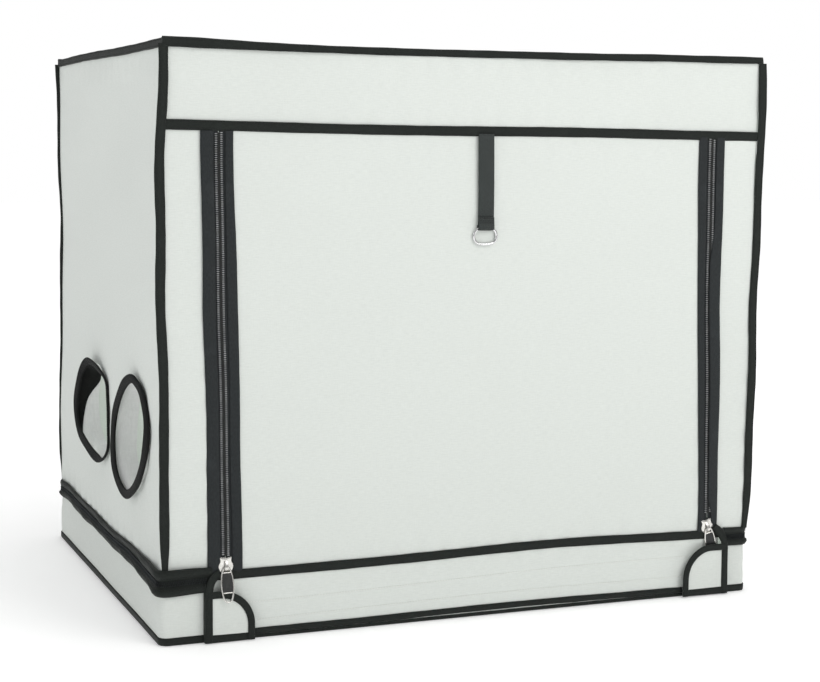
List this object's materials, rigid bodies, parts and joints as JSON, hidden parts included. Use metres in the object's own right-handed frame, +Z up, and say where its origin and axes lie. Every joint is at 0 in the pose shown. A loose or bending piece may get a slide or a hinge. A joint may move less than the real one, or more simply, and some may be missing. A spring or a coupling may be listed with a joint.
{
  "type": "equipment enclosure tent",
  "caption": "Soft-sided box tent for desktop equipment: zip-front door that rolls up, detachable zipped base tray and round duct ports in one side.",
  "frame": {"origin": "centre of the tent's floor, on the ground plane", "axes": "+Z up, +X to the right seen from the front, front door facing -Y"},
  "size_m": [0.8234, 0.6184, 0.7085],
  "materials": {
    "cover_cloth": "woven, satin",
    "floor_cloth": "coated weave",
    "edge_tape": "grosgrain",
    "zip_tape": "knitted tape and nylon coil",
    "webbing": "herringbone webbing",
    "collar_cloth": "woven, matt",
    "frame_tube": "powder coated",
    "connector_plastic": "moulded",
    "nickel": "nickel plated",
    "ring_chrome": "polished",
    "pull_rubber": "matt"
  },
  "bodies": {
    "tent": {"back_wall": "cover_cloth", "base_floor": "floor_cloth", "base_rail_back": "frame_tube", "base_rail_front": "frame_tube", "base_rail_left": "frame_tube", "base_rail_right": "frame_tube", "base_sill": "cover_cloth", "base_walls": "cover_cloth", "corner_bindings": "edge_tape", "corner_connectors_base": "connector_plastic", "corner_connectors_top": "connector_plastic", "door_tape_left": "zip_tape", "door_tape_right": "zip_tape", "door_top_section": "cover_cloth", "duct_collar_front": "collar_cloth", "duct_collar_rear": "collar_cloth", "front_strip_left": "cover_cloth", "front_strip_right": "cover_cloth", "ground_binding": "edge_tape", "header_panel": "cover_cloth", "header_seam_binding": "edge_tape", "left_wall": "cover_cloth", "pocket_left": "cover_cloth", "pocket_right": "cover_cloth", "post_back_left": "frame_tube", "post_back_right": "frame_tube", "post_front_left": "frame_tube", "post_front_right": "frame_tube", "right_wall": "cover_cloth", "ring_zip": "zip_tape", "roof_edge_binding": "edge_tape", "roof_panel": "cover_cloth", "top_rail_back": "frame_tube", "top_rail_front": "frame_tube", "top_rail_left": "frame_tube", "top_rail_right": "frame_tube"},
    "door_01": {"door_section_01": "cover_cloth"},
    "door_02": {"door_section_02": "cover_cloth"},
    "door_03": {"door_section_03": "cover_cloth"},
    "door_04": {"door_section_04": "cover_cloth"},
    "door_05": {"door_section_05": "cover_cloth"},
    "door_06": {"door_section_06": "cover_cloth"},
    "door_07": {"door_section_07": "cover_cloth"},
    "door_08": {"door_section_08": "cover_cloth"},
    "door_09": {"door_section_09": "cover_cloth"},
    "door_10": {"door_section_10": "cover_cloth"},
    "door_11": {"door_section_11": "cover_cloth"},
    "door_12": {"door_section_12": "cover_cloth"},
    "strap_top": {"strap_upper": "webbing"},
    "strap_end": {"strap_lower": "webbing"},
    "ring": {"strap_ring": "ring_chrome"},
    "zip_slider_left": {"slider_left": "nickel"},
    "zip_pull_left": {"pull_left": "nickel", "pull_insert_left": "pull_rubber"},
    "zip_slider_right": {"slider_right": "nickel"},
    "zip_pull_right": {"pull_right": "nickel", "pull_insert_right": "pull_rubber"},
    "ring_slider": {"ring_zip_slider": "nickel"},
    "ring_pull": {"ring_zip_pull": "nickel"}
  },
  "joints": [
    {"name": "door_roll", "type": "hinge", "parent": "tent", "child": "door_01", "pos_m": [0.0075, -0.2985, 0.545], "axis": [1, 0, 0], "range_deg": [0, 45]},
    {"name": "door_roll_02", "type": "hinge", "parent": "door_01", "child": "door_02", "pos_m": [0.0075, -0.2985, 0.49615], "axis": [1, 0, 0], "range_deg": [0, 45]},
    {"name": "door_roll_03", "type": "hinge", "parent": "door_02", "child": "door_03", "pos_m": [0.0075, -0.2985, 0.448], "axis": [1, 0, 0], "range_deg": [0, 45]},
    {"name": "door_roll_04", "type": "hinge", "parent": "door_03", "child": "door_04", "pos_m": [0.0075, -0.2985, 0.40055], "axis": [1, 0, 0], "range_deg": [0, 45]},
    {"name": "door_roll_05", "type": "hinge", "parent": "door_04", "child": "door_05", "pos_m": [0.0075, -0.2985, 0.3538], "axis": [1, 0, 0], "range_deg": [0, 45]},
    {"name": "door_roll_06", "type": "hinge", "parent": "door_05", "child": "door_06", "pos_m": [0.0075, -0.2985, 0.30775], "axis": [1, 0, 0], "range_deg": [0, 45]},
    {"name": "door_roll_07", "type": "hinge", "parent": "door_06", "child": "door_07", "pos_m": [0.0075, -0.2985, 0.2624], "axis": [1, 0, 0], "range_deg": [0, 45]},
    {"name": "door_roll_08", "type": "hinge", "parent": "door_07", "child": "door_08", "pos_m": [0.0075, -0.2985, 0.21775], "axis": [1, 0, 0], "range_deg": [0, 45]},
    {"name": "door_roll_09", "type": "hinge", "parent": "door_08", "child": "door_09", "pos_m": [0.0075, -0.2985, 0.1738], "axis": [1, 0, 0], "range_deg": [0, 45]},
    {"name": "door_roll_10", "type": "hinge", "parent": "door_09", "child": "door_10", "pos_m": [0.0075, -0.2985, 0.13055], "axis": [1, 0, 0], "range_deg": [0, 45]},
    {"name": "door_roll_11", "type": "hinge", "parent": "door_10", "child": "door_11", "pos_m": [0.0075, -0.2985, 0.088], "axis": [1, 0, 0], "range_deg": [0, 45]},
    {"name": "door_roll_12", "type": "hinge", "parent": "door_11", "child": "door_12", "pos_m": [0.0075, -0.2985, 0.04615], "axis": [1, 0, 0], "range_deg": [0, 45]},
    {"name": "strap_swing", "type": "hinge", "parent": "tent", "child": "strap_top", "pos_m": [0.0075, -0.3036, 0.599], "axis": [-1, 0, 0], "range_deg": [0, 100]},
    {"name": "strap_wrap", "type": "hinge", "parent": "strap_top", "child": "strap_end", "pos_m": [0.0075, -0.2985, 0.545], "axis": [1, 0, 0], "range_deg": [0, 45]},
    {"name": "ring_swing", "type": "hinge", "parent": "strap_end", "child": "ring", "pos_m": [0.0075, -0.3039, 0.4887], "axis": [-1, 0, 0], "range_deg": [0, 90]},
    {"name": "slider_left_slide", "type": "slide", "parent": "tent", "child": "zip_slider_left", "axis": [-0.0208, 0, 0.9998], "range_m": [0, 0.494]},
    {"name": "pull_left_swing", "type": "hinge", "parent": "zip_slider_left", "child": "zip_pull_left", "pos_m": [-0.32286, -0.3054, 0.0885], "axis": [-0.9998, 0, -0.0208], "range_deg": [0, 140]},
    {"name": "slider_right_slide", "type": "slide", "parent": "tent", "child": "zip_slider_right", "axis": [-0.014, 0, 0.9999], "range_m": [0, 0.494]},
    {"name": "pull_right_swing", "type": "hinge", "parent": "zip_slider_right", "child": "zip_pull_right", "pos_m": [0.33809, -0.3054, 0.0885], "axis": [-0.9999, 0, -0.014], "range_deg": [0, 150], "deforming": ["pocket_right"]},
    {"name": "ring_slider_slide", "type": "slide", "parent": "tent", "child": "ring_slider", "axis": [0, -1, 0], "range_m": [0, 0.48]},
    {"name": "ring_pull_swing", "type": "hinge", "parent": "ring_slider", "child": "ring_pull", "pos_m": [0.4054, 0.2325, 0.075], "axis": [0, 0, -1], "range_deg": [0, 150]}
  ],
  "couplings": [
    {"joint": "door_roll_02", "follows": "door_roll", "ratio": 1},
    {"joint": "door_roll_03", "follows": "door_roll", "ratio": 1},
    {"joint": "door_roll_04", "follows": "door_roll", "ratio": 1},
    {"joint": "door_roll_05", "follows": "door_roll", "ratio": 1},
    {"joint": "door_roll_06", "follows": "door_roll", "ratio": 1},
    {"joint": "door_roll_07", "follows": "door_roll", "ratio": 1},
    {"joint": "door_roll_08", "follows": "door_roll", "ratio": 1},
    {"joint": "door_roll_09", "follows": "door_roll", "ratio": 1},
    {"joint": "door_roll_10", "follows": "door_roll", "ratio": 1},
    {"joint": "door_roll_11", "follows": "door_roll", "ratio": 1},
    {"joint": "door_roll_12", "follows": "door_roll", "ratio": 1},
    {"joint": "strap_wrap", "follows": "door_roll", "ratio": 1},
    {"joint": "slider_left_slide", "follows": "door_roll", "m_per_rad": 0.6289},
    {"joint": "slider_right_slide", "follows": "door_roll", "m_per_rad": 0.6289}
  ]
}
